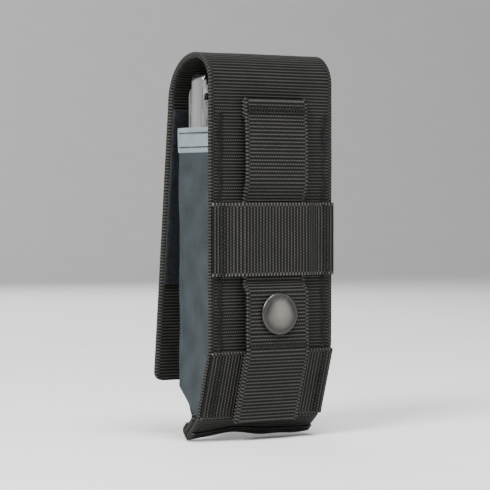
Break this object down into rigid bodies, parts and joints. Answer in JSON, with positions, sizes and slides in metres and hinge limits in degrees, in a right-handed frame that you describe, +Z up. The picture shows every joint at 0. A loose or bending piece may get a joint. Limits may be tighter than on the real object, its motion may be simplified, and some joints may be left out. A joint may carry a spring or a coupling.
{
  "type": "multi tool",
  "caption": "Folded plier multi tool carried in a black webbing sheath with a fold-over flap, elastic sides and a snap-closed strap on the back.",
  "frame": {"origin": "middle of the mid band's outer face on the back of the sheath", "axes": "+Z up towards the flap's crown, -Y out of the back towards the carrier, +Y towards the flap, X across the sheath"},
  "size_m": [0.0508, 0.0459, 0.1378],
  "materials": {
    "wide_webbing": "ribbed weave",
    "narrow_webbing": "ribbed weave",
    "elastic": "fine twill",
    "binding": "satin tape",
    "hook_tape": "hook pile",
    "loop_tape": "loop pile",
    "snap_cap": "satin gunmetal",
    "snap_inner": "blackened",
    "handle_steel": "polished",
    "blade_steel": "satin",
    "pin_steel": "polished",
    "cutter_carbide": "ground"
  },
  "bodies": {
    "sheath": {"back_panel": "wide_webbing", "front_panel": "wide_webbing", "bottom_hem": "wide_webbing", "gusset_left": "elastic", "gusset_right": "elastic", "gusset_binding_left": "binding", "gusset_binding_right": "binding", "hook_patch": "hook_tape", "upper_strap": "narrow_webbing", "mid_band": "narrow_webbing", "lower_band": "narrow_webbing", "snap_stud": "snap_inner", "snap_post": "snap_inner"},
    "crown": {"flap_crown": "wide_webbing"},
    "flap": {"flap_panel": "wide_webbing", "loop_patch": "loop_tape"},
    "strap": {"strap_tail": "narrow_webbing", "snap_cap": "snap_cap", "snap_socket": "snap_inner", "snap_ring_spring": "snap_inner"},
    "tab": {"pull_tab": "narrow_webbing"},
    "tool": {"awl": "blade_steel", "bottle_opener": "blade_steel", "can_opener": "blade_steel", "file_blade": "blade_steel", "handle_left": "handle_steel", "handle_right": "handle_steel", "implement_axle_left": "pin_steel", "implement_axle_right": "pin_steel", "implement_washers_left": "pin_steel", "implement_washers_right": "pin_steel", "jaw_pivot_nut": "pin_steel", "jaw_pivot_screw": "pin_steel", "knife_blade": "blade_steel", "large_screwdriver": "blade_steel", "package_hook": "blade_steel", "phillips_driver": "blade_steel", "plier_jaw_left": "blade_steel", "plier_jaw_right": "blade_steel", "plier_lug_pin_left": "pin_steel", "plier_lug_pin_right": "pin_steel", "saw_blade": "blade_steel", "scale_left_back": "handle_steel", "scale_left_front": "handle_steel", "scale_right_back": "handle_steel", "scale_right_front": "handle_steel", "scale_spacers_left": "pin_steel", "scale_spacers_right": "pin_steel", "serrated_blade": "blade_steel", "small_screwdriver": "blade_steel", "wire_cutter_inserts": "cutter_carbide", "wood_chisel": "blade_steel"}
  },
  "joints": [
    {"name": "tool_draw", "type": "slide", "parent": "sheath", "child": "tool", "axis": [0, 0, 1], "range_m": [0, 0.019]},
    {"name": "flap_crown", "type": "hinge", "parent": "sheath", "child": "crown", "pos_m": [0, 0.004, 0.054], "axis": [1, 0, 0], "range_deg": [0, 95]},
    {"name": "flap_fold", "type": "hinge", "parent": "crown", "child": "flap", "pos_m": [0, 0.0314, 0.0476], "axis": [1, 0, 0], "range_deg": [-7.5, 95]},
    {"name": "strap_unsnap", "type": "hinge", "parent": "sheath", "child": "strap", "pos_m": [0, 0.0022, -0.0149], "axis": [-1, 0, 0], "range_deg": [0, 85]},
    {"name": "pull_tab_lift", "type": "hinge", "parent": "strap", "child": "tab", "pos_m": [0, 0.00005, -0.03975], "axis": [-1, 0, 0], "range_deg": [0, 60]}
  ],
  "couplings": [
    {"joint": "flap_crown", "follows": "tool_draw", "rad_per_m": 87.2}
  ]
}
